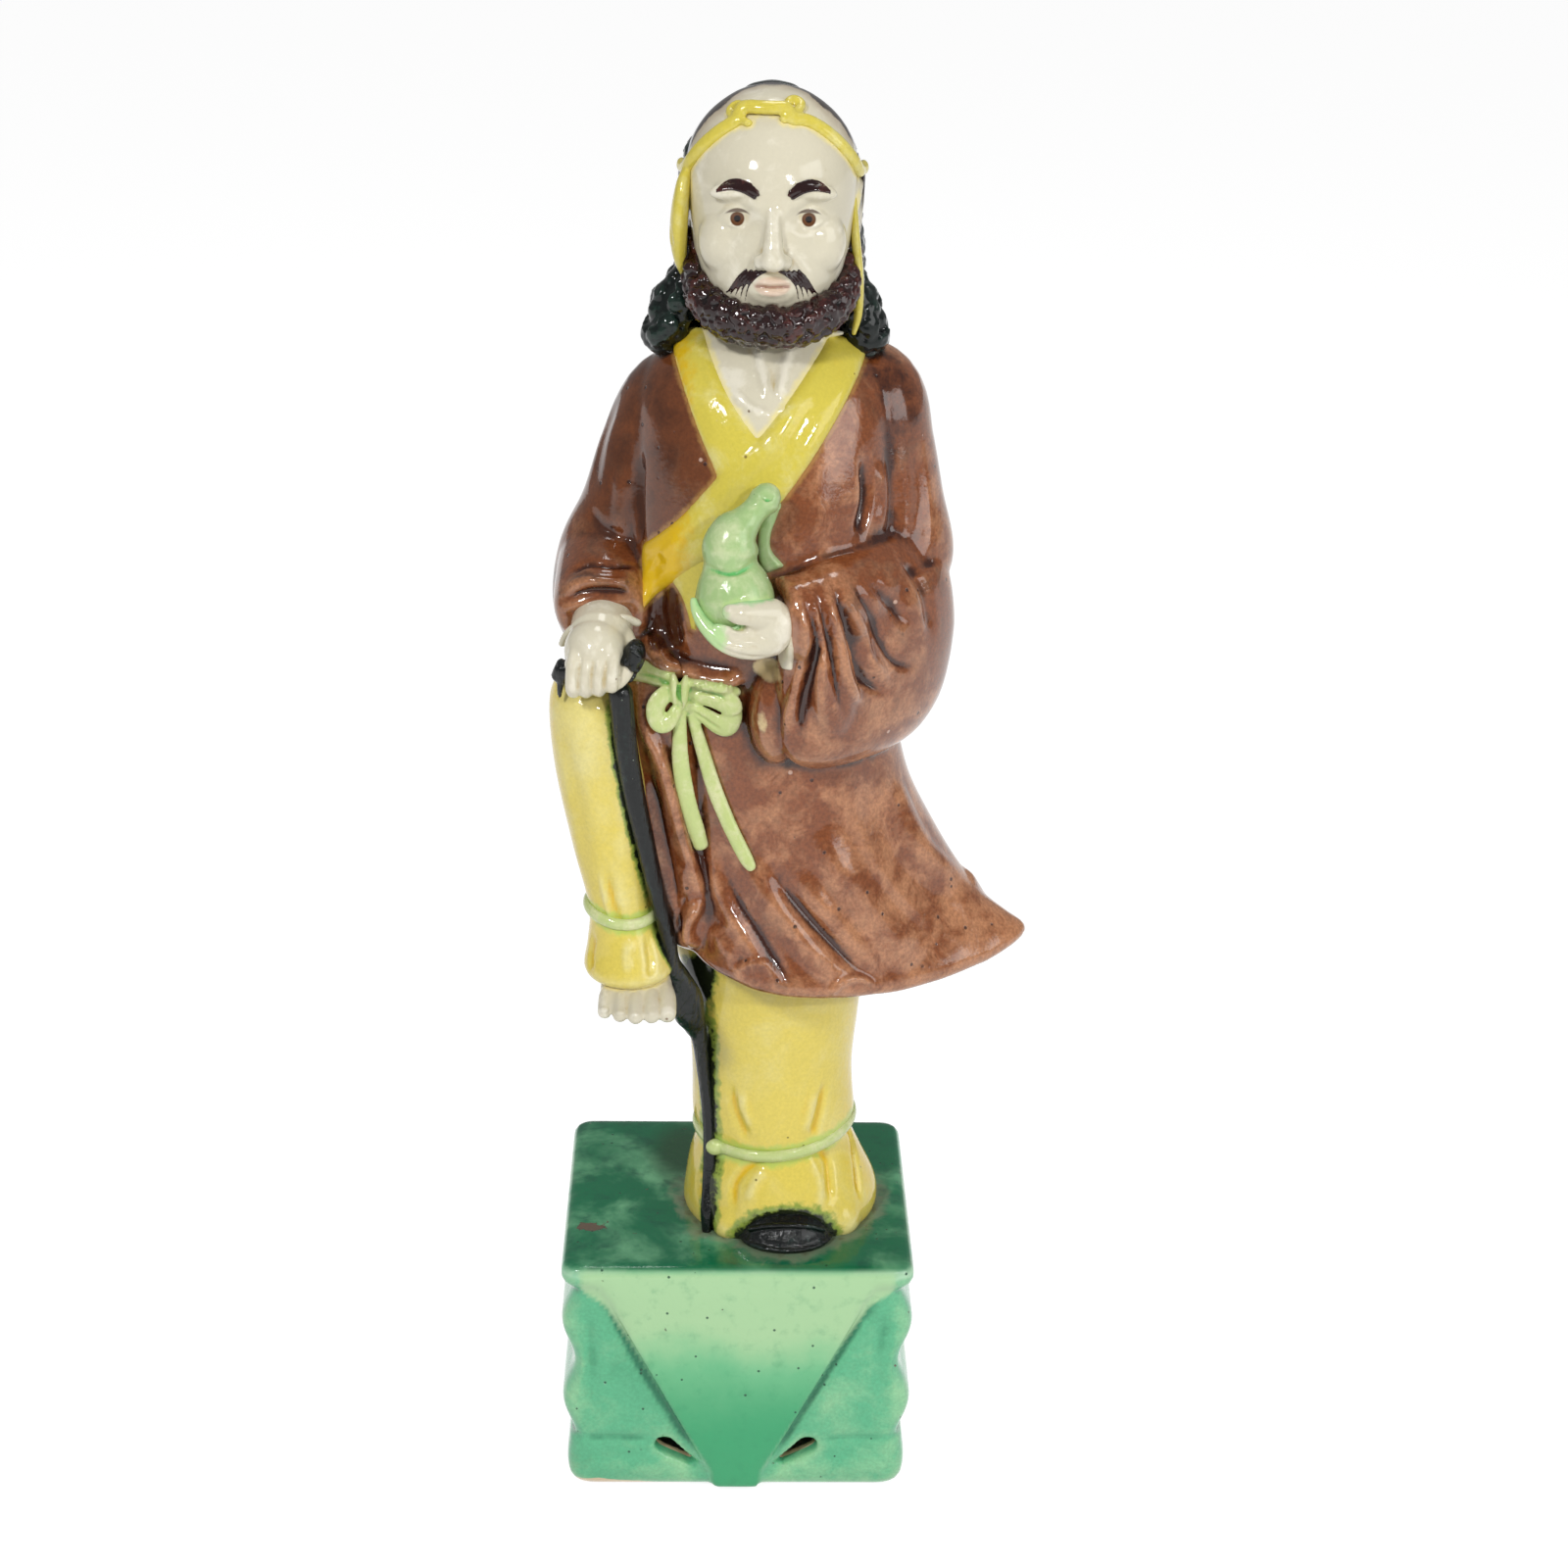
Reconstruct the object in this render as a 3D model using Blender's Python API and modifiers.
"""Glazed porcelain figure of a robed immortal with crutch and gourd, on a hollow plinth.

The whole figure is one fired clay body. It is modelled about the middle of the plinth's
underside: +X is the figure's left hand, -Y its front and +Z up, in metres. At the end it is
moved so that the middle of its outer box stands on the origin.
"""

import math

import bmesh
import bpy
import numpy as np
from mathutils import Vector
from mathutils.bvhtree import BVHTree

for old in list(bpy.data.objects):
    bpy.data.objects.remove(old, do_unlink=True)

# Plinth
PLINTH_WIDTH = 0.0595
PLINTH_DEPTH = 0.0520
PLINTH_HEIGHT = 0.0450
PLINTH_WALL = 0.0045
PLINTH_CORNER = 0.0030
SLAB_THICKNESS = 0.0042
SLAB_OVERHANG = 0.0012
SLAB_ROUND = 0.0012
FOOT_HEIGHT = 0.0098
WAVE_DEPTH = 0.0009
WAVE_LEVELS = 22
APRON_SHOULDER = 0.0455
APRON_TIP = 0.0082
APRON_PROUD = 0.0011
PIERCING_LENGTH = 0.0112
PIERCING_RADIUS = 0.0017

# Heights above the plinth
TIE_RISE = 0.0148
HEM_RISE = 0.0525
TOE_RISE = 0.0492
KNEE_RISE = 0.1010
WAIST_RISE = 0.0955
SHOULDER_RISE = 0.1500
CHIN_RISE = 0.1560

# Height of the whole piece, which sets the length of the head
FIGURE_HEIGHT = 0.2350

# Standing leg
LEG_OFFSET = 0.0060
LEG_SET_FORWARD = -0.0020
LEG_HALF_WIDTH = 0.0137
LEG_HALF_DEPTH = 0.0125
FLARE_HALF_WIDTH = 0.0168
FLARE_HALF_DEPTH = 0.0158
SHOE_HALF_WIDTH = 0.0079
SHOE_HEIGHT = 0.0056

# Raised leg
SHIN_HALF_WIDTH = 0.0070
SHIN_HALF_DEPTH = 0.0078
SHIN_SPREAD = 0.0300
FOOT_LENGTH = 0.0170
FOOT_HALF_WIDTH = 0.0056
FOOT_THICKNESS = 0.0034

# Robe and body
WAIST_HALF_WIDTH = 0.0215
WAIST_HALF_DEPTH = 0.0170
CHEST_HALF_WIDTH = 0.0205
CHEST_HALF_DEPTH = 0.0165
HEM_HALF_WIDTH = 0.0298
HEM_HALF_DEPTH = 0.0215
HEM_SWEEP = 0.0120
HEM_WALL = 0.0030
HEM_RECESS = 0.0060
ARM_RADIUS = 0.0092
CUFF_RADIUS = 0.0078
SLEEVE_DROP = 0.0290
COLLAR_WIDTH = 0.0064
COLLAR_PROUD = 0.0011
BODY_WALL = 0.0065

# Head
HEAD_HALF_WIDTH = 0.0128
HEAD_HALF_DEPTH = 0.0145
NECK_RADIUS = 0.0082
BEARD_THICKNESS = 0.0028
FILLET_RADIUS = 0.0011
HAIR_THICKNESS = 0.0060

# Things held and worn
STAFF_TOP_RADIUS = 0.0023
STAFF_FOOT_RADIUS = 0.0013
HANDLE_RADIUS = 0.0017
HANDLE_LENGTH = 0.0125
HAND_RADIUS = 0.0052
FINGER_RADIUS = 0.0015
FINGER_COUNT = 4
GOURD_HEIGHT = 0.0245
GOURD_BULB_RADIUS = 0.0064
GOURD_UPPER_RADIUS = 0.0046
GOURD_MOUTH_RADIUS = 0.0024
SASH_RADIUS = 0.0013
SASH_DROP = 0.0260
TIE_RADIUS = 0.0008

# How fine the clay surface is worked
CLAY_VOXEL = 0.00072
RING_SIDES = 32
FIGURE_FACES = 8800

plinth_top = PLINTH_HEIGHT
tie_z = plinth_top + TIE_RISE
hem_z = plinth_top + HEM_RISE
toe_z = plinth_top + TOE_RISE
knee_z = plinth_top + KNEE_RISE
waist_z = plinth_top + WAIST_RISE
shoulder_z = plinth_top + SHOULDER_RISE
chin_z = plinth_top + CHIN_RISE
crown_z = FIGURE_HEIGHT
head_height = crown_z - chin_z
head_middle = Vector((LEG_OFFSET - 0.0025, -0.0010, chin_z + head_height * 0.49))

figure_parts = bpy.data.collections.new("immortal_figure")
bpy.context.scene.collection.children.link(figure_parts)


def mix(low, high, share):
    return low + (high - low) * share


def add_object(name, mesh, collection=figure_parts):
    shape = bpy.data.objects.new(name, mesh)
    collection.objects.link(shape)
    return shape


def mesh_from(name, build):
    """A mesh made by build(bm), with its faces turned outwards."""
    mesh = bpy.data.meshes.new(name)
    bm = bmesh.new()
    build(bm)
    bmesh.ops.recalc_face_normals(bm, faces=bm.faces)
    bm.to_mesh(mesh)
    bm.free()
    return mesh


def skin(name, rings):
    """Closed skin over rings of points, for a loft between unlike sections."""

    def build(bm):
        loops = [[bm.verts.new(point) for point in ring] for ring in rings]
        for lower, upper in zip(loops, loops[1:]):
            for step in range(len(lower)):
                after = (step + 1) % len(lower)
                bm.faces.new((lower[step], lower[after], upper[after], upper[step]))
        bm.faces.new(list(reversed(loops[0])))
        bm.faces.new(loops[-1])

    return add_object(name, mesh_from(name, build))


def ring(centre, across, along, half_width, half_depth, egg=0.0, sides=RING_SIDES):
    """An oval of points; egg narrows it towards the positive side of across."""
    points = []
    for step in range(sides):
        angle = math.tau * step / sides
        side = math.cos(angle)
        front = math.sin(angle) * (1 - egg * side)
        points.append(centre + across * (half_width * side) + along * (half_depth * front))
    return points


def level_loft(name, stations, turn=0.0):
    """Loft over level ovals; a station is x, y, z, half width, half depth and egg."""
    across = Vector((math.cos(turn), math.sin(turn), 0))
    along = Vector((-math.sin(turn), math.cos(turn), 0))
    rings = [ring(Vector(station[:3]), across, along, *station[3:]) for station in stations]
    return skin(name, rings)


def limb(name, stations, side=(1, 0, 0)):
    """Loft square to its own path; a station is a point, half width and half depth."""
    points = [Vector(station[0]) for station in stations]
    rings = []
    for index, (_, half_width, half_depth) in enumerate(stations):
        before = points[max(index - 1, 0)]
        after = points[min(index + 1, len(points) - 1)]
        direction = (after - before).normalized()
        along = direction.cross(Vector(side)).normalized()
        across = along.cross(direction)
        rings.append(ring(points[index], across, along, half_width, half_depth))
    return skin(name, rings)


def lump(name, centre, radii, turn=(0, 0, 0)):
    """A sphere pressed to three radii, for hands, knots and tufts."""
    bpy.ops.mesh.primitive_uv_sphere_add(
        segments=24, ring_count=14, location=centre, rotation=turn
    )
    shape = bpy.context.object
    shape.name = name
    shape.scale = radii
    return shape


def cord(name, points, radii):
    """A round strand on a smooth curve, as a closed mesh."""
    curve = bpy.data.curves.new(name, "CURVE")
    curve.dimensions = "3D"
    curve.bevel_depth = 1.0
    curve.bevel_resolution = 3
    curve.resolution_u = 8
    curve.use_fill_caps = True
    spline = curve.splines.new("NURBS")
    spline.points.add(len(points) - 1)
    spline.order_u = 4
    spline.use_endpoint_u = True
    for index, (point, control) in enumerate(zip(points, spline.points)):
        control.co = (*point, 1)
        control.radius = mix(radii[0], radii[1], index / (len(points) - 1))
    strand = add_object(name + "_curve", curve)
    bpy.context.view_layer.update()
    solid = strand.evaluated_get(bpy.context.evaluated_depsgraph_get())
    mesh = bpy.data.meshes.new_from_object(solid)
    bpy.data.objects.remove(strand, do_unlink=True)

    def build(bm):
        bm.from_mesh(mesh)
        bmesh.ops.remove_doubles(bm, verts=bm.verts, dist=1e-6)

    return add_object(name, mesh_from(name, build))


def modify(shape, kind, **settings):
    modifier = shape.modifiers.new(kind.title(), kind)
    for key, value in settings.items():
        setattr(modifier, key, value)
    return modifier


def apply_all(shape):
    """Turn the shape's modifiers and placement into plain mesh."""
    bpy.context.view_layer.update()
    solid = shape.evaluated_get(bpy.context.evaluated_depsgraph_get())
    mesh = bpy.data.meshes.new_from_object(solid)
    mesh.transform(shape.matrix_world)
    shape.modifiers.clear()
    shape.data = mesh
    shape.matrix_world.identity()
    return shape


def join_parts(name, shapes):
    """Put the meshes of several shapes into one object and remove the shapes."""

    def build(bm):
        for shape in shapes:
            apply_all(shape)
            bm.from_mesh(shape.data)

    joined = add_object(name, mesh_from(name, build))
    for shape in shapes:
        bpy.data.objects.remove(shape, do_unlink=True)
    return joined


# Plinth


def wavy_side(z):
    """How far the draped side wall stands out at a height."""
    drop = plinth_top - SLAB_THICKNESS
    if z <= FOOT_HEIGHT:
        return WAVE_DEPTH * 0.6 * math.sin(math.pi * z / FOOT_HEIGHT)
    share = (z - FOOT_HEIGHT) / (drop - FOOT_HEIGHT)
    return WAVE_DEPTH * (0.25 - math.cos(2 * math.tau * share))


def round_corners(bm):
    """Round the four upright edges of a box."""
    upright = []
    for edge in bm.edges:
        low, high = (vert.co for vert in edge.verts)
        if abs(low.x - high.x) + abs(low.y - high.y) < 1e-6:
            upright.append(edge)
    bmesh.ops.bevel(
        bm, geom=upright, offset=PLINTH_CORNER, segments=3, profile=0.5, affect="EDGES"
    )


def plinth_body():
    """The walls under the slab: a box whose sides ripple like hanging cloth."""
    bpy.ops.mesh.primitive_cube_add(size=1)
    body = bpy.context.object
    body.name = "plinth_body"
    top = plinth_top - SLAB_THICKNESS / 2
    body.dimensions = (PLINTH_WIDTH - 2 * SLAB_OVERHANG, PLINTH_DEPTH - 2 * SLAB_OVERHANG, top)
    body.location.z = top / 2
    bpy.context.view_layer.update()
    apply_all(body)
    bm = bmesh.new()
    bm.from_mesh(body.data)
    round_corners(bm)
    for level in range(1, WAVE_LEVELS):
        geometry = bm.verts[:] + bm.edges[:] + bm.faces[:]
        place = (0, 0, top * level / WAVE_LEVELS)
        bmesh.ops.bisect_plane(bm, geom=geometry, plane_co=place, plane_no=(0, 0, 1))
    for vert in bm.verts:
        vert.co.x += math.copysign(wavy_side(vert.co.z), vert.co.x)
    bm.to_mesh(body.data)
    bm.free()
    return body


def plinth_slab():
    bpy.ops.mesh.primitive_cube_add(size=1)
    slab = bpy.context.object
    slab.name = "plinth_slab"
    slab.dimensions = (PLINTH_WIDTH, PLINTH_DEPTH, SLAB_THICKNESS)
    slab.location.z = plinth_top - SLAB_THICKNESS / 2
    bpy.context.view_layer.update()
    apply_all(slab)
    bm = bmesh.new()
    bm.from_mesh(slab.data)
    round_corners(bm)
    bm.to_mesh(slab.data)
    bm.free()
    edge_angle = math.radians(60)
    modify(
        slab, "BEVEL", width=SLAB_ROUND, segments=3, limit_method="ANGLE", angle_limit=edge_angle
    )
    return apply_all(slab)


def outline_plate(name, outline, thickness, y):
    """An upright plate in the XZ plane, from a flat filled curve with extrude."""
    curve = bpy.data.curves.new(name, "CURVE")
    curve.dimensions = "2D"
    curve.fill_mode = "BOTH"
    curve.extrude = thickness / 2
    spline = curve.splines.new("POLY")
    spline.points.add(len(outline) - 1)
    for (x, z), control in zip(outline, spline.points):
        control.co = (x, z, 0, 1)
    spline.use_cyclic_u = True
    flat = add_object(name + "_curve", curve)
    flat.rotation_euler.x = math.radians(90)
    flat.location.y = y
    bpy.context.view_layer.update()
    solid = flat.evaluated_get(bpy.context.evaluated_depsgraph_get())
    mesh = bpy.data.meshes.new_from_object(solid)
    mesh.transform(flat.matrix_world)
    bpy.data.objects.remove(flat, do_unlink=True)

    def build(bm):
        bm.from_mesh(mesh)
        bmesh.ops.remove_doubles(bm, verts=bm.verts, dist=1e-6)

    return add_object(name, mesh_from(name, build))


apron_top_z = plinth_top - SLAB_THICKNESS * 0.9
apron_tip_z = 0.0012
front_y = -PLINTH_DEPTH / 2 + SLAB_OVERHANG


def apron():
    """The three-cornered cloth that hangs down the front, its tip on the foot rim."""
    half_top = APRON_SHOULDER / 2
    half_tip = APRON_TIP / 2
    outline = [
        (-half_top, apron_top_z),
        (-half_top + 0.0018, apron_top_z - 0.0030),
        (-half_tip, apron_tip_z + 0.0035),
        (-half_tip, apron_tip_z),
        (half_tip, apron_tip_z),
        (half_tip, apron_tip_z + 0.0035),
        (half_top - 0.0018, apron_top_z - 0.0030),
        (half_top, apron_top_z),
    ]
    thickness = 2 * APRON_PROUD
    return outline_plate("apron", outline, thickness, front_y)


def piercing(side):
    """A leaf-shaped hole beside the apron's tip: round above, pointed at the tip."""
    slope = math.atan2(apron_top_z - apron_tip_z, (APRON_SHOULDER - APRON_TIP) / 2)
    point = Vector((APRON_TIP / 2 + 0.0004, 0.0030))
    lean = slope - math.radians(12)
    direction = Vector((math.cos(lean), math.sin(lean)))
    across = Vector((direction.y, -direction.x))
    middle = point + direction * (PIERCING_LENGTH - PIERCING_RADIUS)
    middle += across * (PIERCING_RADIUS + 0.0009)
    outline = [point]
    for step in range(9):
        angle = math.radians(-100 + 200 * step / 8)
        around = direction * math.cos(angle) - across * math.sin(angle)
        outline.append(middle + around * PIERCING_RADIUS)
    places = [(side * place.x, place.y) for place in outline]
    return outline_plate(f"piercing_{side:+d}", places, PLINTH_WALL * 4, front_y)


def plinth_hollow():
    """The open space under the plinth, which the piercings lead into."""
    bpy.ops.mesh.primitive_cube_add(size=1)
    hollow = bpy.context.object
    hollow.name = "plinth_hollow"
    inside = SLAB_OVERHANG + PLINTH_WALL
    height = plinth_top - SLAB_THICKNESS - PLINTH_WALL * 0.4
    below = 0.0050
    hollow.dimensions = (PLINTH_WIDTH - 2 * inside, PLINTH_DEPTH - 2 * inside, height + below)
    hollow.location.z = (height - below) / 2
    bpy.context.view_layer.update()
    apply_all(hollow)
    modify(hollow, "BEVEL", width=PLINTH_CORNER, segments=2)
    return apply_all(hollow)


# Legs


def leg_front(x):
    """The y of the standing leg's front surface at an x."""
    share = max(-0.95, min(0.95, (x - LEG_OFFSET) / LEG_HALF_WIDTH))
    return LEG_SET_FORWARD - LEG_HALF_DEPTH * math.sqrt(1 - share * share)


def standing_leg():
    """Trouser leg, tied above the ankle, with its cuff spread on the plinth."""
    x = LEG_OFFSET
    y = LEG_SET_FORWARD
    flare_x = LEG_OFFSET + 0.0014
    wide = LEG_HALF_WIDTH
    deep = LEG_HALF_DEPTH
    flare = FLARE_HALF_WIDTH
    flare_deep = FLARE_HALF_DEPTH
    neck_z = mix(plinth_top, tie_z, 0.65)
    stations = [
        (flare_x, y, plinth_top - 0.0010, flare - 0.0010, flare_deep - 0.0008),
        (flare_x, y, plinth_top + 0.0008, flare, flare_deep),
        (flare_x, y, mix(plinth_top, tie_z, 0.30), flare * 0.985, flare_deep * 0.98),
        (x + 0.0006, y, neck_z, mix(flare, wide, 0.4), mix(flare_deep, deep, 0.4)),
        (x + 0.0002, y, tie_z, wide - 0.0006, deep - 0.0004),
        (x, y, tie_z + 0.0030, wide + 0.0002, deep + 0.0002),
        (x - 0.0004, y, mix(tie_z, hem_z, 0.35), wide, deep),
        (x - 0.0003, y, mix(tie_z, hem_z, 0.70), wide + 0.0010, deep + 0.0008),
        (x, y, hem_z + HEM_RECESS + 0.0030, wide + 0.0018, deep + 0.0016),
    ]
    return level_loft("standing_leg", stations)


def shoe():
    centre = (LEG_OFFSET + 0.0021, LEG_SET_FORWARD - FLARE_HALF_DEPTH + 0.0012, plinth_top)
    return lump("shoe", centre, (SHOE_HALF_WIDTH, 0.0068, SHOE_HEIGHT))


shin_top = Vector((LEG_OFFSET - SHIN_SPREAD, -0.0158, knee_z))
ankle = Vector((LEG_OFFSET - SHIN_SPREAD * 0.845, -0.0168, toe_z + 0.0140))


def raised_leg():
    """The lifted leg in its trouser: round knee, shin, tie and short spread cuff."""
    x = shin_top.x
    y = shin_top.y
    wide = SHIN_HALF_WIDTH
    deep = SHIN_HALF_DEPTH
    cuff_x = ankle.x + 0.0012
    cuff_y = ankle.y - 0.0010
    stations = [
        (x - 0.0002, y + 0.0010, knee_z + 0.0012, wide * 0.40, deep * 0.50),
        (x - 0.0002, y + 0.0006, knee_z - 0.0006, wide * 0.74, deep * 0.85),
        (x + 0.0002, y, knee_z - 0.0045, wide - 0.0002, deep + 0.0004),
        (x + 0.0016, y, mix(ankle.z, knee_z, 0.62), wide + 0.0004, deep),
        (mix(x, ankle.x, 0.75), y, mix(ankle.z, knee_z, 0.27), wide - 0.0004, deep - 0.0004),
        (ankle.x, ankle.y, ankle.z, wide - 0.0018, deep - 0.0016),
        (cuff_x, ankle.y, mix(toe_z, ankle.z, 0.55), wide - 0.0004, deep),
        (cuff_x, cuff_y, toe_z + 0.0036, wide + 0.0004, deep + 0.0006),
        (cuff_x, cuff_y, toe_z + 0.0024, wide - 0.0010, deep - 0.0010),
    ]
    return level_loft("raised_leg", stations)


def thigh():
    hip = Vector((LEG_OFFSET - 0.0140, 0.0010, waist_z + 0.0010))
    stations = [
        (hip, 0.0095, 0.0095),
        (hip.lerp(shin_top, 0.5), 0.0088, 0.0088),
        (shin_top + Vector((0.0010, 0.0030, -0.0070)), 0.0064, 0.0070),
    ]
    return limb("thigh", stations)


def bare_foot():
    """The foot under the cuff, toes pointing forward and a little down."""
    heel = Vector((ankle.x + 0.0012, ankle.y + 0.0040, toe_z + 0.0036))
    ball = heel + Vector((-0.0004, -FOOT_LENGTH * 0.80, -0.0030))
    tip = heel + Vector((-0.0006, -FOOT_LENGTH, -0.0036))
    stations = [
        (heel, FOOT_HALF_WIDTH * 0.7, FOOT_THICKNESS),
        (heel.lerp(ball, 0.5), FOOT_HALF_WIDTH * 0.9, FOOT_THICKNESS * 0.72),
        (ball, FOOT_HALF_WIDTH, FOOT_THICKNESS * 0.5),
        (tip, FOOT_HALF_WIDTH * 0.9, FOOT_THICKNESS * 0.36),
    ]
    shapes = [limb("foot", stations)]
    for toe in range(5):
        spread = (toe - 2) / 2
        size = mix(0.0017, 0.0011, toe / 4)
        place = tip + Vector((-spread * FOOT_HALF_WIDTH * 0.80, abs(spread) * 0.0008, 0.0000))
        shapes.append(lump(f"toe_{toe}", place, (size, size * 1.5, size)))
    return shapes


# Robe


def hem_height(x, z):
    """The hem dips at the front and lifts at its left corner and at the blown tip."""
    left = max(0.0, min(1.0, (LEG_OFFSET + 0.0050 - x) / 0.022))
    right = max(0.0, min(1.0, (x - LEG_OFFSET - 0.0240) / 0.0175))
    near = max(0.0, min(1.0, 1 - (z - hem_z) / 0.020))
    return z + near * (0.0052 * left**1.5 + 0.0024 * right**2)


def skirt():
    """The robe below the sash, blown towards its right-hand corner, open underneath."""
    x = LEG_OFFSET
    y = LEG_SET_FORWARD - 0.0006
    right = x + HEM_SWEEP
    waist = WAIST_HALF_WIDTH
    waist_deep = WAIST_HALF_DEPTH
    wide = HEM_HALF_WIDTH
    deep = HEM_HALF_DEPTH
    edge = HEM_WALL
    low = hem_z - 0.0035
    inner = (mix(wide, LEG_HALF_WIDTH, 0.45), mix(deep, LEG_HALF_DEPTH, 0.45))
    middle = (mix(waist, wide, 0.22), mix(waist_deep, deep, 0.62))
    levels = [
        (mix(x, right, 0.40), y, hem_z + HEM_RECESS, *inner, 0.20),
        (right, y, low + 0.0012, wide - edge, deep - edge, 0.52),
        (right, y, low, wide - edge * 0.45, deep - edge * 0.45, 0.55),
        (right, y, low + 0.0016, wide, deep, 0.55),
        (mix(x, right, 0.88), y, mix(low, waist_z, 0.10), wide * 0.95, deep * 0.98, 0.50),
        (mix(x, right, 0.62), y, mix(low, waist_z, 0.24), wide * 0.86, deep * 0.95, 0.36),
        (mix(x, right, 0.28), y, mix(low, waist_z, 0.45), *middle, 0.20),
        (x - 0.0010, y, mix(low, waist_z, 0.70), waist + 0.0005, mix(waist_deep, deep, 0.35), 0.06),
        (x - 0.0034, y, waist_z, waist, waist_deep, 0.0),
        (x - 0.0030, y, waist_z + 0.0060, waist, waist_deep, 0.0),
    ]
    shape = level_loft("skirt", levels)
    for vert in shape.data.vertices:
        vert.co.z = hem_height(vert.co.x, vert.co.z)
    return shape


chest_x = LEG_OFFSET - 0.0032


def torso():
    """Belly, chest and sloping shoulders under the robe."""
    wide = CHEST_HALF_WIDTH
    deep = CHEST_HALF_DEPTH
    stations = [
        (chest_x, -0.0022, waist_z - 0.0040, WAIST_HALF_WIDTH - 0.0010, WAIST_HALF_DEPTH - 0.0010),
        (chest_x, -0.0026, waist_z + 0.0040, WAIST_HALF_WIDTH, WAIST_HALF_DEPTH + 0.0006),
        (chest_x, -0.0028, mix(waist_z, shoulder_z, 0.24), WAIST_HALF_WIDTH, WAIST_HALF_DEPTH + 0.0010),
        (chest_x, -0.0022, mix(waist_z, shoulder_z, 0.50), wide + 0.0006, deep + 0.0006),
        (chest_x, -0.0012, mix(waist_z, shoulder_z, 0.74), wide, deep - 0.0008),
        (chest_x, -0.0002, mix(waist_z, shoulder_z, 0.90), wide - 0.0008, deep - 0.0030),
        (chest_x, 0.0010, shoulder_z, wide - 0.0045, deep - 0.0060),
        (chest_x + 0.0004, 0.0014, shoulder_z + 0.0034, NECK_RADIUS + 0.0030, NECK_RADIUS),
    ]
    return level_loft("torso", stations)


hand_on_crutch = Vector((LEG_OFFSET - SHIN_SPREAD + 0.0010, -0.0225, knee_z + 0.0062))
hand_on_gourd = Vector((chest_x - 0.0016, -0.0252, waist_z + 0.0175))


def crutch_arm():
    """The arm that rests on the crutch, in its hanging sleeve."""
    shoulder = Vector((chest_x - CHEST_HALF_WIDTH + 0.0062, 0.0026, shoulder_z - 0.0085))
    elbow = Vector((hand_on_crutch.x + 0.0014, 0.0020, hand_on_crutch.z + 0.0085))
    wrist = hand_on_crutch + Vector((0.0010, 0.0085, 0.0045))
    upper = [
        (shoulder + Vector((0.0050, 0, 0.0050)), 0.0050, 0.0060),
        (shoulder, ARM_RADIUS - 0.0014, ARM_RADIUS - 0.0004),
        (shoulder.lerp(elbow, 0.35), ARM_RADIUS - 0.0008, ARM_RADIUS),
        (shoulder.lerp(elbow, 0.70), ARM_RADIUS - 0.0014, ARM_RADIUS),
        (elbow, ARM_RADIUS - 0.0008, ARM_RADIUS),
        (elbow + Vector((-0.0012, -0.0006, -0.0085)), ARM_RADIUS - 0.0012, ARM_RADIUS - 0.0006),
        (elbow + Vector((-0.0014, -0.0008, -0.0150)), ARM_RADIUS - 0.0042, ARM_RADIUS - 0.0034),
    ]
    fore = [
        (elbow + Vector((0.0006, 0.0004, 0.0)), ARM_RADIUS - 0.0006, ARM_RADIUS - 0.0006),
        (elbow.lerp(wrist, 0.5), CUFF_RADIUS + 0.0004, CUFF_RADIUS),
        (elbow.lerp(wrist, 0.92), CUFF_RADIUS, CUFF_RADIUS - 0.0008),
        (wrist, CUFF_RADIUS - 0.0014, CUFF_RADIUS - 0.0020),
    ]
    return [limb("crutch_upper_arm", upper, (1, 0, 0)), limb("crutch_forearm", fore, (1, 0, 0))]


def gourd_arm():
    """The arm that holds the gourd, bent across the belly in a wide hanging sleeve."""
    shoulder = Vector((chest_x + CHEST_HALF_WIDTH - 0.0036, 0.0032, shoulder_z - 0.0072))
    elbow = Vector((chest_x + CHEST_HALF_WIDTH, 0.0010, hand_on_gourd.z + 0.0035))
    wrist = hand_on_gourd + Vector((0.0065, 0.0025, 0.0010))
    upper = [
        (shoulder + Vector((-0.0050, 0, 0.0050)), 0.0050, 0.0060),
        (shoulder, ARM_RADIUS - 0.0012, ARM_RADIUS),
        (shoulder.lerp(elbow, 0.30), ARM_RADIUS - 0.0002, ARM_RADIUS + 0.0004),
        (shoulder.lerp(elbow, 0.65), ARM_RADIUS + 0.0004, ARM_RADIUS + 0.0006),
        (elbow, ARM_RADIUS + 0.0010, ARM_RADIUS + 0.0010),
        (elbow + Vector((0, 0, -0.0060)), ARM_RADIUS - 0.0020, ARM_RADIUS - 0.0010),
    ]
    fore = [
        (elbow + Vector((-0.0004, 0.0010, -0.0005)), ARM_RADIUS, ARM_RADIUS),
        (elbow.lerp(wrist, 0.5), CUFF_RADIUS + 0.0006, CUFF_RADIUS),
        (wrist, CUFF_RADIUS - 0.0014, CUFF_RADIUS - 0.0014),
    ]
    return [limb("gourd_upper_arm", upper, (1, 0, 0)), limb("gourd_forearm", fore, (0, 0, 1))]


sleeve_front = Vector((hand_on_gourd.x + 0.0052, hand_on_gourd.y - 0.0004, 0))
sleeve_back = Vector((chest_x + CHEST_HALF_WIDTH + 0.0092, -0.0002, 0))
sleeve_turn = math.atan2(sleeve_back.y - sleeve_front.y, sleeve_back.x - sleeve_front.x)
sleeve_top = hand_on_gourd.z + 0.0045
sleeve_low = sleeve_top - SLEEVE_DROP


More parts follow.
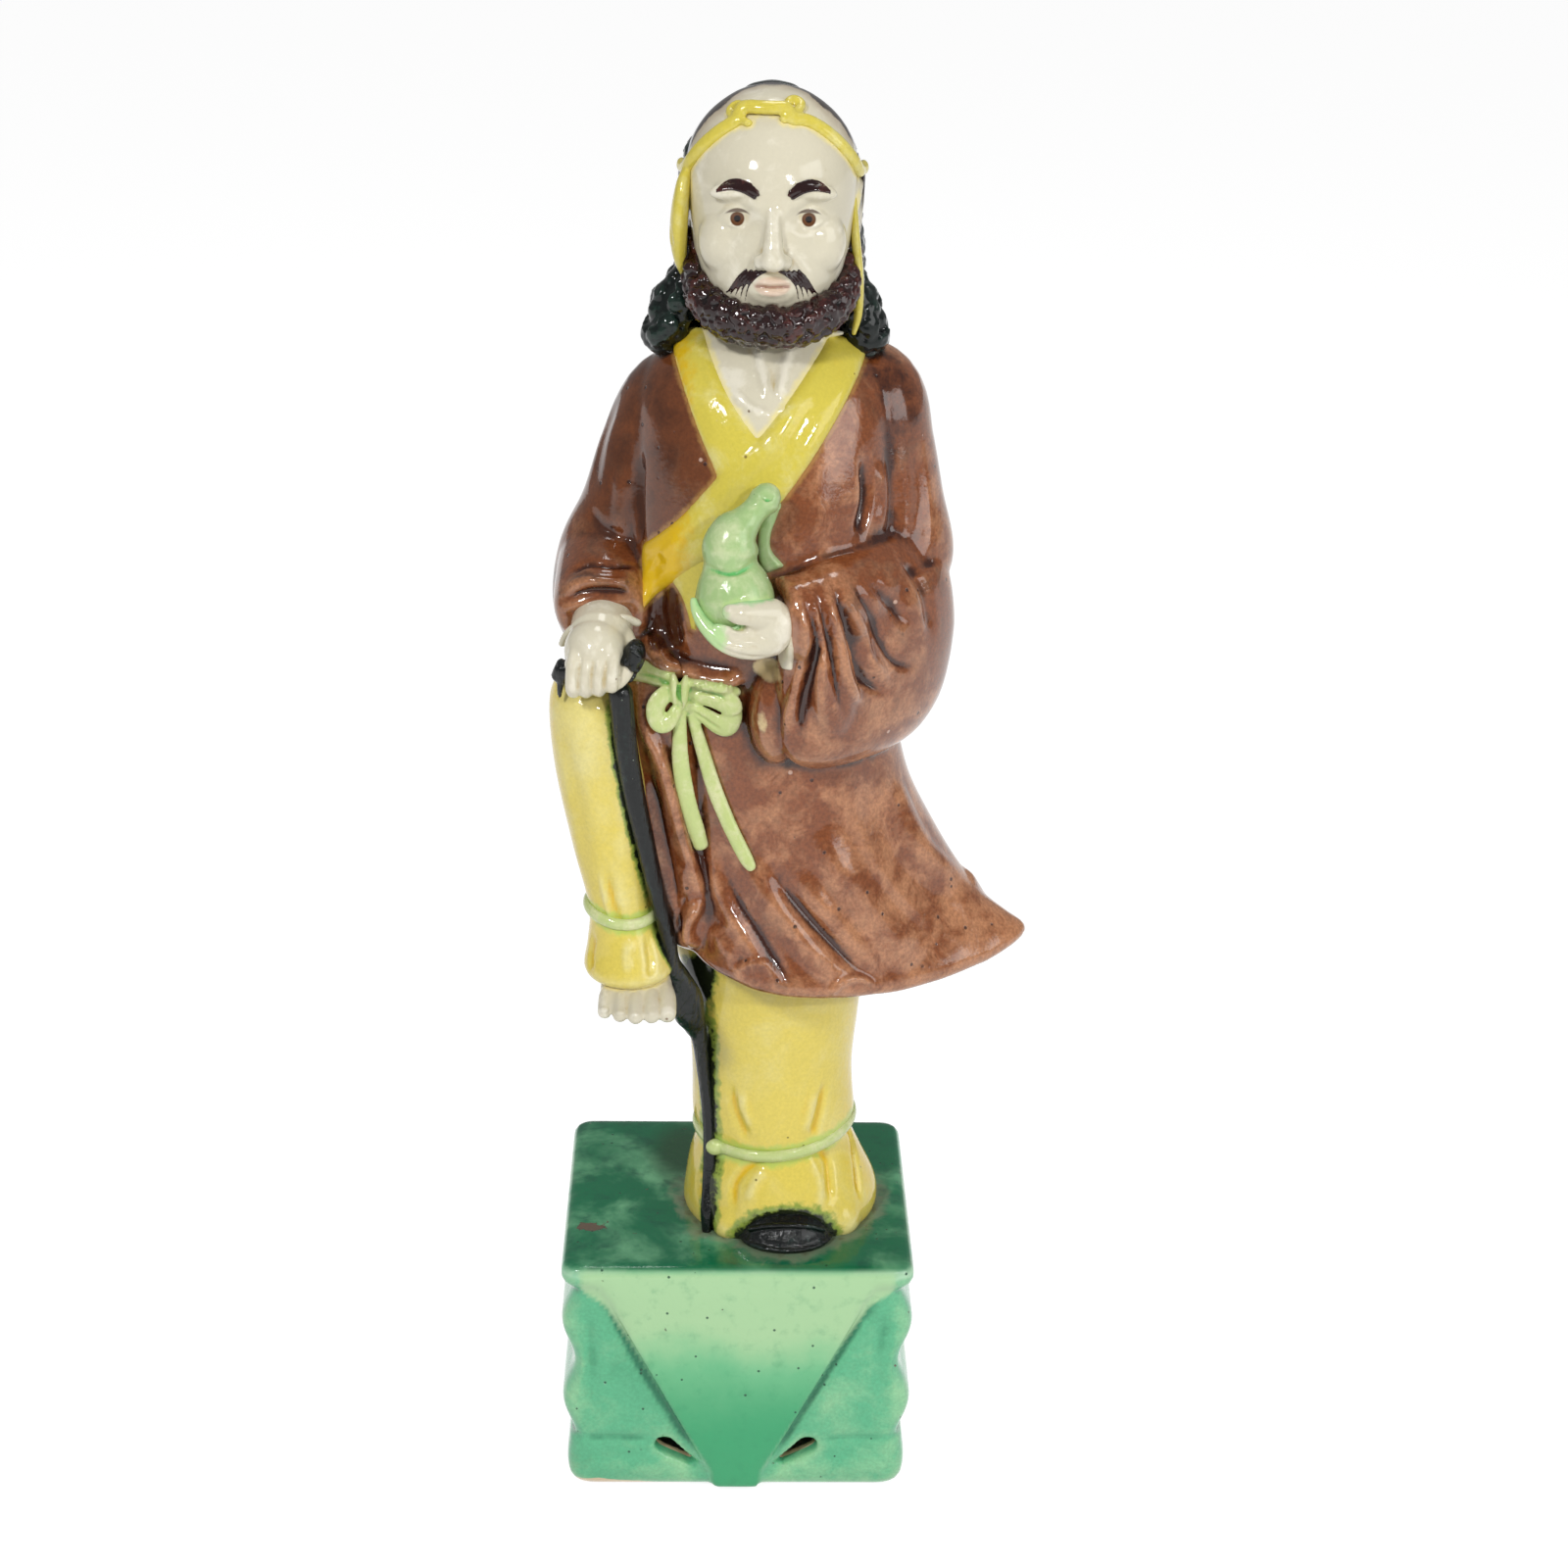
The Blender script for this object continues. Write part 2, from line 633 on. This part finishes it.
def inner_sleeve():
    """The fold of cloth that hangs inside the open end of the sleeve."""
    lobe = Vector((
        sleeve_front.x - 0.0014,
        sleeve_front.y + 0.0050,
        mix(sleeve_low, sleeve_top, 0.32),
    ))
    return lump("inner_sleeve", lobe, (SLEEVE_DROP * 0.15, SLEEVE_DROP * 0.15, SLEEVE_DROP * 0.28))


def hanging_sleeve():
    """The pouch of cloth under the bent forearm, from the cuff round to the elbow."""
    middle = (sleeve_front + sleeve_back) / 2
    half = (sleeve_back - sleeve_front).length / 2
    along = (sleeve_back - sleeve_front).normalized()
    plan = [
        (0.02, 0.62, 0.0024, 0.0022),
        (0.05, 0.72, 0.0030, 0.0044),
        (0.18, 0.88, 0.0018, 0.0062),
        (0.40, 1.00, 0.0006, 0.0074),
        (0.70, 1.02, 0.0000, 0.0072),
        (1.00, 0.94, 0.0000, 0.0058),
    ]
    stations = []
    for share, length, shift, thickness in plan:
        centre = middle - along * shift
        stations.append((centre.x, centre.y, mix(sleeve_low, sleeve_top, share), half * length, thickness))
    return level_loft("hanging_sleeve", stations, sleeve_turn)


# Hands, crutch and gourd


def crutch_hand():
    """A loose fist over the crutch handle, its four fingers hanging in front."""
    back = hand_on_crutch + Vector((0.0004, 0.0022, 0.0012))
    shapes = [lump("crutch_palm", back, (HAND_RADIUS * 1.04, HAND_RADIUS, HAND_RADIUS * 0.82))]
    for finger in range(FINGER_COUNT):
        x = hand_on_crutch.x + (finger - (FINGER_COUNT - 1) / 2) * HAND_RADIUS * 0.48
        knuckle = Vector((x, hand_on_crutch.y - 0.0008, hand_on_crutch.z + 0.0022))
        points = [
            knuckle,
            knuckle + Vector((0, -0.0038, -0.0010)),
            knuckle + Vector((0, -0.0044, -0.0056)),
            knuckle + Vector((0, -0.0016, -0.0072)),
        ]
        shapes.append(cord(f"crutch_finger_{finger}", points, (FINGER_RADIUS, FINGER_RADIUS * 0.85)))
    thumb_root = hand_on_crutch + Vector((HAND_RADIUS * 0.9, 0.0006, 0.0010))
    thumb = [
        thumb_root,
        thumb_root + Vector((0.0012, -0.0030, -0.0012)),
        thumb_root + Vector((0.0002, -0.0046, -0.0034)),
    ]
    shapes.append(cord("crutch_thumb", thumb, (FINGER_RADIUS, FINGER_RADIUS * 0.85)))
    return shapes


handle_middle = hand_on_crutch + Vector((0.0006, -0.0012, -0.0012))
staff_top = handle_middle + Vector((0.0040, 0, 0))
staff_foot = Vector((LEG_OFFSET - 0.0112, LEG_SET_FORWARD - FLARE_HALF_DEPTH * 0.70, plinth_top - 0.0006))


def crutch():
    """A short cross handle on a staff that runs down beside the leg to the plinth."""
    half = HANDLE_LENGTH / 2
    handle = [
        handle_middle + Vector((-half, 0.0008, -0.0016)),
        handle_middle + Vector((-half * 0.4, 0, -0.0002)),
        handle_middle + Vector((half * 0.5, 0, 0.0006)),
        handle_middle + Vector((half, 0, 0.0012)),
    ]
    at_hem = Vector((LEG_OFFSET - 0.0160, -0.0200, hem_z))
    beside_leg = LEG_OFFSET - 0.0116
    at_leg = Vector((beside_leg, leg_front(beside_leg) - 0.0010, mix(tie_z, hem_z, 0.45)))
    at_tie = Vector((beside_leg, leg_front(beside_leg) - 0.0006, tie_z))
    upper = [staff_top, staff_top.lerp(at_hem, 0.3), staff_top.lerp(at_hem, 0.7), at_hem]
    staff = upper + [at_leg, at_tie, staff_foot]
    knob = handle_middle + Vector((half, 0, 0.0016))
    return [
        cord("crutch_handle", handle, (HANDLE_RADIUS, HANDLE_RADIUS * 1.25)),
        cord("crutch_staff", staff, (STAFF_TOP_RADIUS, STAFF_FOOT_RADIUS)),
        lump("crutch_knob", knob, (HANDLE_RADIUS * 1.5, HANDLE_RADIUS * 1.3, HANDLE_RADIUS * 1.4)),
    ]


def gourd():
    """A double gourd bottle, its profile turned about its own axis and leaned back."""
    height = GOURD_HEIGHT
    profile = [
        (GOURD_MOUTH_RADIUS * 0.70, height),
        (GOURD_MOUTH_RADIUS, height * 0.975),
        (GOURD_MOUTH_RADIUS * 0.80, height * 0.93),
        (GOURD_MOUTH_RADIUS * 0.85, height * 0.86),
        (GOURD_UPPER_RADIUS * 0.80, height * 0.77),
        (GOURD_UPPER_RADIUS, height * 0.67),
        (GOURD_UPPER_RADIUS * 0.96, height * 0.60),
        (GOURD_UPPER_RADIUS * 0.82, height * 0.53),
        (GOURD_BULB_RADIUS * 0.86, height * 0.44),
        (GOURD_BULB_RADIUS, height * 0.30),
        (GOURD_BULB_RADIUS * 0.88, height * 0.13),
        (GOURD_BULB_RADIUS * 0.50, height * 0.02),
        (0, 0),
    ]
    mesh = bpy.data.meshes.new("gourd")
    points = [(0, 0, height)] + [(x, 0, z) for x, z in profile]
    mesh.from_pydata(points, [(index, index + 1) for index in range(len(points) - 1)], [])
    bottle = add_object("gourd", mesh)
    modify(bottle, "SCREW", steps=24, render_steps=24, use_merge_vertices=True, merge_threshold=0.00005)
    bottle.rotation_euler = (math.radians(-14), math.radians(11), 0)
    bottle.location = hand_on_gourd + Vector((-0.0044, -0.0020, -0.0050))
    return bottle


def gourd_hand():
    """The palm behind the gourd with its fingers wrapped forward round the bulb."""
    shapes = [
        lump("gourd_palm", hand_on_gourd + Vector((0.0018, 0, -0.0012)), (0.0058, 0.0046, 0.0050)),
        limb("gourd_wrist", [
            (hand_on_gourd + Vector((0.0010, 0, -0.0004)), 0.0044, 0.0042),
            (hand_on_gourd + Vector((0.0090, 0.0040, 0.0004)), 0.0044, 0.0042),
        ], (0, 0, 1)),
    ]
    for finger in range(4):
        z = hand_on_gourd.z + 0.0018 - finger * 0.0020
        root = Vector((hand_on_gourd.x + 0.0006, hand_on_gourd.y - 0.0040, z))
        points = [
            root,
            root + Vector((-0.0034, -0.0040, 0.0004)),
            root + Vector((-0.0080, -0.0036, 0.0012)),
            root + Vector((-0.0102, 0.0002, 0.0018)),
        ]
        shapes.append(cord(f"gourd_finger_{finger}", points, (FINGER_RADIUS, FINGER_RADIUS * 0.8)))
    return shapes


def sash_bow(surface_y):
    """The sash knot with two loops and two hanging tails, low on the belly."""
    knot = Vector((LEG_OFFSET - 0.0155, surface_y - 0.0010, waist_z + 0.0050))
    shapes = [lump("sash_knot", knot, (SASH_RADIUS * 1.6, SASH_RADIUS * 1.5, SASH_RADIUS * 1.5))]
    loops = {
        "left_upper": ((-0.0022, 0.0052), (-0.0056, 0.0040)),
        "left_lower": ((-0.0050, -0.0012), (-0.0032, -0.0056)),
        "right_upper": ((0.0034, 0.0020), (0.0078, 0.0006)),
        "right_lower": ((0.0070, -0.0010), (0.0064, -0.0062)),
    }
    for side, (first, second) in loops.items():
        points = [
            knot,
            knot + Vector((first[0], -0.0010, first[1])),
            knot + Vector((second[0], -0.0006, second[1])),
            knot + Vector((second[0] * 0.4, 0.0002, second[1] * 0.5)),
        ]
        shapes.append(cord(f"sash_{side}", points, (SASH_RADIUS, SASH_RADIUS * 0.9)))
    for index, reach in enumerate((0.0035, 0.0110)):
        end = knot + Vector((reach, -0.0028, -SASH_DROP))
        points = [
            knot,
            knot + Vector((reach * 0.05 - 0.0004, -0.0012, -SASH_DROP * 0.3)),
            knot + Vector((reach * 0.45, -0.0024, -SASH_DROP * 0.7)),
            end,
        ]
        shapes.append(cord(f"sash_tail_{index}", points, (SASH_RADIUS * 0.9, SASH_RADIUS * 1.2)))
    return shapes


# Head


def head():
    """Skull, jaw, neck, ear and beard."""
    middle = head_middle
    half = head_height / 2
    wide = HEAD_HALF_WIDTH
    deep = HEAD_HALF_DEPTH
    shapes = [
        lump("skull", middle + Vector((0, 0.0014, half * 0.30)), (wide, deep, half * 0.78)),
        lump("jaw", middle + Vector((0, -0.0030, -half * 0.36)), (wide * 0.86, deep * 0.78, half * 0.56)),
        lump("ear", middle + Vector((wide - 0.0004, 0.0020, -half * 0.08)), (0.0012, 0.0024, half * 0.32)),
        limb("neck", [
            (Vector((middle.x, 0.0018, shoulder_z - 0.0060)), NECK_RADIUS + 0.0008, NECK_RADIUS),
            (Vector((middle.x, 0.0010, middle.z - half * 0.30)), NECK_RADIUS, NECK_RADIUS),
        ]),
    ]
    beard = middle + Vector((0, -0.0054, -half * 0.56))
    shapes.append(lump("beard", beard, (wide * 0.97, deep * 0.66, half * 0.46)))
    chin = middle + Vector((0, -0.0106, -half * 0.86))
    shapes.append(lump("chin_beard", chin, (wide * 0.62, BEARD_THICKNESS * 1.25, half * 0.22)))
    for side in (-1, 1):
        cheek = middle + Vector((side * wide * 0.84, -0.0030, -half * 0.22))
        shapes.append(lump(f"side_beard_{side:+d}", cheek, (BEARD_THICKNESS, 0.0060, half * 0.40)))
    return shapes


def face():
    """A calm, even face: eyes at mid height, nose base and mouth spaced by thirds below."""
    middle = head_middle
    half = head_height / 2
    front = middle.y - HEAD_HALF_DEPTH
    eye_z = middle.z + half * 0.04
    nose_z = middle.z - half * 0.24
    mouth_z = middle.z - half * 0.40
    shapes = [
        lump("nose_tip", Vector((middle.x, front - 0.0004, nose_z + 0.0006)), (0.0019, 0.0020, 0.0015)),
        limb("nose_bridge", [
            (Vector((middle.x, front + 0.0020, eye_z + 0.0014)), 0.0012, 0.0014),
            (Vector((middle.x, front + 0.0002, nose_z + 0.0008)), 0.0015, 0.0016),
        ]),
        lump("upper_lip", Vector((middle.x, front + 0.0003, mouth_z + 0.0006)), (0.0030, 0.0014, 0.0008)),
        lump("lower_lip", Vector((middle.x, front + 0.0004, mouth_z - 0.0009)), (0.0025, 0.0014, 0.0010)),
    ]
    for side in (-1, 1):
        x = middle.x + side * HEAD_HALF_WIDTH * 0.40
        tilt = (0, math.radians(side * 4), 0)
        brow = Vector((x, front + 0.0021, eye_z + half * 0.17))
        eye = Vector((x, front + 0.0029, eye_z))
        cheek = Vector((x + side * 0.0008, front + 0.0052, nose_z + 0.0010))
        nostril = Vector((middle.x + side * 0.0016, front + 0.0008, nose_z))
        shapes += [
            lump(f"brow_{side:+d}", brow, (0.0037, 0.0012, 0.0009), tilt),
            lump(f"eye_{side:+d}", eye, (0.0023, 0.0016, 0.0013)),
            lump(f"cheek_{side:+d}", cheek, (0.0044, 0.0040, 0.0042)),
            lump(f"nostril_{side:+d}", nostril, (0.0010, 0.0012, 0.0010)),
        ]
    return shapes


def fillet():
    """The twisted band round the forehead, with its two curled ends and side ribbon."""
    middle = head_middle
    half = head_height / 2
    points = []
    for step in range(25):
        angle = math.pi * (1 + step / 24)
        lift = math.sin(angle) ** 4
        points.append(Vector((
            middle.x + (HEAD_HALF_WIDTH + 0.0004) * math.cos(angle),
            middle.y + 0.0014 + (HEAD_HALF_DEPTH * mix(1.0, 0.72, lift)) * math.sin(angle),
            middle.z + half * mix(0.30, 0.82, lift),
        )))
    shapes = [cord("fillet", points, (FILLET_RADIUS, FILLET_RADIUS))]
    for side in (-1, 1):
        start = middle + Vector((side * 0.0062, -HEAD_HALF_DEPTH * 0.62, half * 0.80))
        curl = [
            start,
            start + Vector((side * -0.0016, -0.0004, 0.0028)),
            start + Vector((side * -0.0034, 0.0006, 0.0026)),
        ]
        shapes.append(cord(f"fillet_curl_{side:+d}", curl, (FILLET_RADIUS, FILLET_RADIUS * 1.2)))
    ribbon = [
        (middle + Vector((-HEAD_HALF_WIDTH - 0.0002, -0.0030, half * 0.42)), 0.0012, 0.0040),
        (middle + Vector((-HEAD_HALF_WIDTH - 0.0012, -0.0034, -half * 0.05)), 0.0014, 0.0044),
        (middle + Vector((-HEAD_HALF_WIDTH - 0.0004, -0.0030, -half * 0.46)), 0.0012, 0.0030),
    ]
    shapes.append(limb("side_ribbon", ribbon))
    return shapes


def hair():
    """Loose hair from behind the fillet down over the back and both shoulders."""
    middle = head_middle
    half = head_height / 2
    thick = HAIR_THICKNESS
    back = [
        (middle + Vector((0, 0.0040, half * 0.72)), HEAD_HALF_WIDTH * 0.78, HEAD_HALF_DEPTH * 0.72),
        (middle + Vector((0, 0.0046, half * 0.20)), HEAD_HALF_WIDTH + 0.0006, HEAD_HALF_DEPTH * 0.86),
        (middle + Vector((0, 0.0052, -half * 0.40)), HEAD_HALF_WIDTH + 0.0014, HEAD_HALF_DEPTH * 0.74),
        (middle + Vector((0, 0.0070, -half * 0.95)), HEAD_HALF_WIDTH + 0.0040, HEAD_HALF_DEPTH * 0.62),
        (middle + Vector((0, 0.0095, -half * 1.50)), HEAD_HALF_WIDTH * 0.85, HEAD_HALF_DEPTH * 0.36),
    ]
    shapes = [limb("back_hair", back)]
    for side in (-1, 1):
        root = middle + Vector((side * (HEAD_HALF_WIDTH - 0.0008), 0.0030, -half * 0.30))
        stations = [
            (root, thick * 0.30, thick * 0.70),
            (root + Vector((side * 0.0006, -0.0004, -0.0055)), thick * 0.50, thick),
            (root + Vector((side * 0.0034, -0.0016, -0.0125)), thick * 0.72, thick * 0.95),
            (root + Vector((side * 0.0030, -0.0034, -0.0170)), thick * 0.45, thick * 0.55),
        ]
        shapes.append(limb(f"shoulder_hair_{side:+d}", stations))
    return shapes


# Folds and edges worked into the joined surface


class Clay:
    """The joined figure, whose surface strokes push in or pull out."""

    def __init__(self, shape):
        self.mesh = shape.data
        self.refresh()

    def refresh(self):
        count = len(self.mesh.vertices)
        self.places = np.empty(count * 3)
        self.mesh.vertices.foreach_get("co", self.places)
        self.places = self.places.reshape(-1, 3)
        self.normals = np.empty(count * 3)
        self.mesh.vertices.foreach_get("normal", self.normals)
        self.normals = self.normals.reshape(-1, 3)
        triangles = [tuple(face.vertices) for face in self.mesh.polygons]
        self.tree = BVHTree.FromPolygons([tuple(place) for place in self.places], triangles)

    def touch(self, x, z, from_front=True):
        """The outermost surface point seen from the front or the back."""
        far = -0.2 if from_front else 0.2
        hit = self.tree.ray_cast(Vector((x, far, z)), Vector((0, -far * 5, 0)))[0]
        return None if hit is None else np.array(hit)

    def lay(self, line, from_front=True):
        """Lay a line of (x, z) points on the surface, about a millimetre apart."""
        places = []
        for (x0, z0), (x1, z1) in zip(line, line[1:]):
            steps = max(1, round(math.hypot(x1 - x0, z1 - z0) / 0.001))
            for step in range(steps + 1):
                place = self.touch(mix(x0, x1, step / steps), mix(z0, z1, step / steps), from_front)
                if place is not None:
                    places.append(place)
        return np.array(places)

    def stroke(self, line, height, width, from_front=True):
        """Raise a ridge of a height along a line, or with a negative height a groove."""
        spots = self.lay(line, from_front)
        if len(spots) < 2:
            return
        low = spots.min(axis=0) - width
        high = spots.max(axis=0) + width
        near = np.where(((self.places > low) & (self.places < high)).all(axis=1))[0]
        if len(near) == 0:
            return
        gap = np.linalg.norm(self.places[near, None, :] - spots[None, :, :], axis=2)
        closest = gap.argmin(axis=1)
        share = np.clip(gap.min(axis=1) / width, 0, 1)
        ends = np.minimum(closest, len(spots) - 1 - closest) / (0.25 * len(spots))
        push = height * (1 - share**2) ** 2 * np.clip(ends + 0.25, 0, 1)
        self.places[near] += self.normals[near] * push[:, None]

    def finish(self):
        self.mesh.vertices.foreach_set("co", self.places.ravel())
        self.mesh.update()


def work_skirt(clay):
    """Ridges and valleys of the skirt, from the sash down to the hem."""
    def at(x, share):
        return (LEG_OFFSET + x, mix(hem_z, waist_z, share))

    folds = [
        ([at(-0.0190, 0.84), at(-0.0160, 0.60), at(-0.0118, 0.28), at(-0.0140, 0.10)], 0.0022, 0.0024),
        ([at(-0.0150, 0.80), at(-0.0125, 0.55), at(-0.0085, 0.30), at(-0.0050, 0.06)], -0.0022, 0.0022),
        ([at(-0.0101, 0.43), at(-0.0055, 0.27), at(-0.0008, 0.11), at(0.0027, 0.00)], 0.0022, 0.0026),
        ([at(-0.0030, 0.42), at(0.0025, 0.27), at(0.0077, 0.14), at(0.0164, -0.06)], -0.0024, 0.0026),
        ([at(0.0060, 0.60), at(0.0130, 0.30), at(0.0230, 0.00)], 0.0016, 0.0040),
        ([at(0.0120, 0.80), at(0.0200, 0.40), at(0.0340, 0.04)], -0.0014, 0.0040),
    ]
    for line, height, width in folds:
        clay.stroke(line, height, width)
    for x in (-0.012, 0.000, 0.012, 0.024):
        line = [at(x * 0.7, 0.95), at(x, 0.45), at(x * 1.3, 0.02)]
        clay.stroke(line, -0.0016, 0.0034, from_front=False)


def work_sleeves(clay):
    """Cuff folds that fan out from the gourd hand and cross the crutch arm."""
    x0 = hand_on_gourd.x
    z0 = hand_on_gourd.z
    hanging = [
        ([(0.0089, 0.0061), (0.0107, 0.0004), (0.0092, -0.0046), (0.0076, -0.0163)], -0.0022, 0.0018),
        ([(0.0100, 0.0087), (0.0110, 0.0042), (0.0117, -0.0011), (0.0143, -0.0130)], -0.0020, 0.0018),
        ([(0.0122, 0.0089), (0.0145, 0.0036), (0.0160, -0.0030), (0.0219, -0.0130)], -0.0020, 0.0020),
        ([(0.0048, 0.0086), (0.0051, 0.0033), (0.0062, -0.0043), (0.0045, -0.0193)], 0.0016, 0.0018),
        ([(0.0175, 0.0080), (0.0200, 0.0010), (0.0215, -0.0080)], -0.0016, 0.0026),
        ([(0.0190, 0.0250), (0.0180, 0.0180), (0.0165, 0.0120)], -0.0018, 0.0026),
    ]
    for line, height, width in hanging:
        clay.stroke([(x0 + x, z0 + z) for x, z in line], height, width)
    x1 = hand_on_crutch.x
    z1 = hand_on_crutch.z
    crossing = [
        ([(-0.0028, 0.0110), (0.0010, 0.0122), (0.0062, 0.0112)], -0.0011, 0.0018),
        ([(-0.0056, 0.0068), (-0.0018, 0.0086), (0.0058, 0.0090)], -0.0011, 0.0016),
        ([(0.0066, 0.0270), (0.0064, 0.0200), (0.0066, 0.0120)], -0.0012, 0.0024),
    ]
    for line, height, width in crossing:
        clay.stroke([(x1 + x, z1 + z) for x, z in line], height, width)


def work_collar(clay):
    """The wide crossed collar, its lapping edge, and the fold above the sash."""
    left_top = (chest_x - 0.0118, shoulder_z + 0.0005)
    cross = (chest_x - 0.0015, mix(waist_z, shoulder_z, 0.80))
    right_top = (chest_x + 0.0136, shoulder_z + 0.0010)
    low = (chest_x - 0.0186, mix(waist_z, shoulder_z, 0.36))
    half = COLLAR_WIDTH / 2
    clay.stroke([left_top, cross], COLLAR_PROUD, half)
    clay.stroke([right_top, cross, low], COLLAR_PROUD * 1.3, half * 1.1)
    belly = [
        (chest_x - 0.0150, waist_z + 0.0160),
        (chest_x - 0.0080, waist_z + 0.0095),
        (chest_x + 0.0010, waist_z + 0.0090),
    ]
    clay.stroke(belly, 0.0014, 0.0022)


def work_legs(clay):
    """Gathers above and below the ankle tie."""
    lines = [
        ([(-0.0071, 0.0120), (-0.0063, 0.0065), (-0.0037, 0.0030)], -0.0008, 0.0016),
        ([(0.0084, 0.0100), (0.0067, 0.0030)], -0.0008, 0.0016),
        ([(-0.0030, -0.0010), (-0.0058, -0.0050), (-0.0065, -0.0100)], -0.0012, 0.0018),
        ([(0.0074, -0.0010), (0.0093, -0.0050), (0.0096, -0.0110)], -0.0012, 0.0018),
    ]
    for line, height, width in lines:
        clay.stroke([(LEG_OFFSET + x, tie_z + z) for x, z in line], height, width)


def leg_ties():
    """A cord round each ankle, laid on the trouser."""
    shin = ankle + Vector((0.0002, 0, 0))
    ties = {
        "standing_tie": (
            Vector((LEG_OFFSET + 0.0002, LEG_SET_FORWARD, tie_z)),
            LEG_HALF_WIDTH - 0.0004,
            LEG_HALF_DEPTH - 0.0002,
            0.12,
        ),
        "raised_tie": (shin, SHIN_HALF_WIDTH - 0.0016, SHIN_HALF_DEPTH - 0.0014, -0.10),
    }
    shapes = []
    for name, (centre, wide, deep, lean) in ties.items():
        points = []
        for step in range(33):
            angle = math.tau * step / 32
            side = wide * math.cos(angle)
            points.append(centre + Vector((side, deep * math.sin(angle), lean * side)))
        shapes.append(cord(name, points, (TIE_RADIUS, TIE_RADIUS)))
    return shapes


def hollow_body():
    """The space inside the figure, which opens through the standing leg into the plinth."""
    wall = BODY_WALL
    leg = (LEG_HALF_WIDTH - wall, LEG_HALF_DEPTH - wall)
    belly = (WAIST_HALF_WIDTH - wall * 1.4, WAIST_HALF_DEPTH - wall * 1.2)
    chest = (CHEST_HALF_WIDTH - wall * 1.3, CHEST_HALF_DEPTH - wall)
    shoulders = (CHEST_HALF_WIDTH - wall * 1.9, CHEST_HALF_DEPTH - wall * 1.5)
    stations = [
        (LEG_OFFSET, LEG_SET_FORWARD, plinth_top - SLAB_THICKNESS - PLINTH_WALL, *leg),
        (LEG_OFFSET, LEG_SET_FORWARD, hem_z, *leg),
        (LEG_OFFSET, LEG_SET_FORWARD, mix(hem_z, waist_z, 0.5), *belly),
        (chest_x, -0.0010, waist_z, *belly),
        (chest_x, -0.0005, mix(waist_z, shoulder_z, 0.55), *chest),
        (chest_x, 0.0010, mix(waist_z, shoulder_z, 0.82), *shoulders),
    ]
    across = Vector((1, 0, 0))
    along = Vector((0, 1, 0))
    rings = [ring(Vector(row[:3]), across, along, *row[3:], sides=12) for row in stations]
    return skin("hollow_body", rings)


# Assembly


def combine(target, tool, operation):
    """Cut or join one shape by another and drop the tool."""
    modify(target, "BOOLEAN", object=tool, operation=operation, solver="EXACT")
    apply_all(target)
    bpy.data.objects.remove(tool, do_unlink=True)


def glaze():
    """Brown glaze stands for the whole piece; the other colours are finish."""
    material = bpy.data.materials.new("glazed_porcelain")
    material.use_nodes = True
    shader = material.node_tree.nodes["Principled BSDF"]
    shader.inputs["Base Color"].default_value = (0.16, 0.055, 0.030, 1)
    shader.inputs["Roughness"].default_value = 0.16
    shader.inputs["Metallic"].default_value = 0.0
    return material


def build_figure():
    """Everything above the plinth, worked as one clay surface."""
    shapes = [standing_leg(), shoe(), raised_leg(), thigh(), skirt(), torso(), hanging_sleeve(), inner_sleeve()]
    shapes += [gourd()] + bare_foot() + crutch_arm() + gourd_arm() + crutch_hand() + gourd_hand() + crutch()
    shapes += head() + face() + fillet() + hair() + leg_ties()
    shapes += sash_bow(LEG_SET_FORWARD - WAIST_HALF_DEPTH)
    figure = join_parts("immortal_figure", shapes)
    modify(figure, "REMESH", mode="VOXEL", voxel_size=CLAY_VOXEL)
    modify(figure, "SMOOTH", factor=0.5, iterations=1)
    apply_all(figure)
    clay = Clay(figure)
    for work in (work_skirt, work_sleeves, work_collar, work_legs):
        work(clay)
    clay.finish()
    faces = sum(len(face.vertices) - 2 for face in figure.data.polygons)
    modify(figure, "DECIMATE", ratio=min(1.0, FIGURE_FACES / faces))
    return apply_all(figure)


def build_plinth():
    plinth = plinth_body()
    for piece in (plinth_slab(), apron()):
        combine(plinth, piece, "UNION")
    return plinth


figure = build_figure()
combine(figure, build_plinth(), "UNION")
combine(figure, plinth_hollow(), "DIFFERENCE")
combine(figure, hollow_body(), "DIFFERENCE")
for side in (-1, 1):
    combine(figure, piercing(side), "DIFFERENCE")

places = np.array([vert.co for vert in figure.data.vertices])
middle = (places.min(axis=0) + places.max(axis=0)) / 2
for vert in figure.data.vertices:
    vert.co -= Vector((middle[0], middle[1], places[:, 2].min()))
figure.data.materials.clear()
figure.data.materials.append(glaze())
figure.data.shade_smooth()
figure.data.set_sharp_from_angle(angle=math.radians(40))
print("plinth middle lies at", -middle[0], -middle[1])
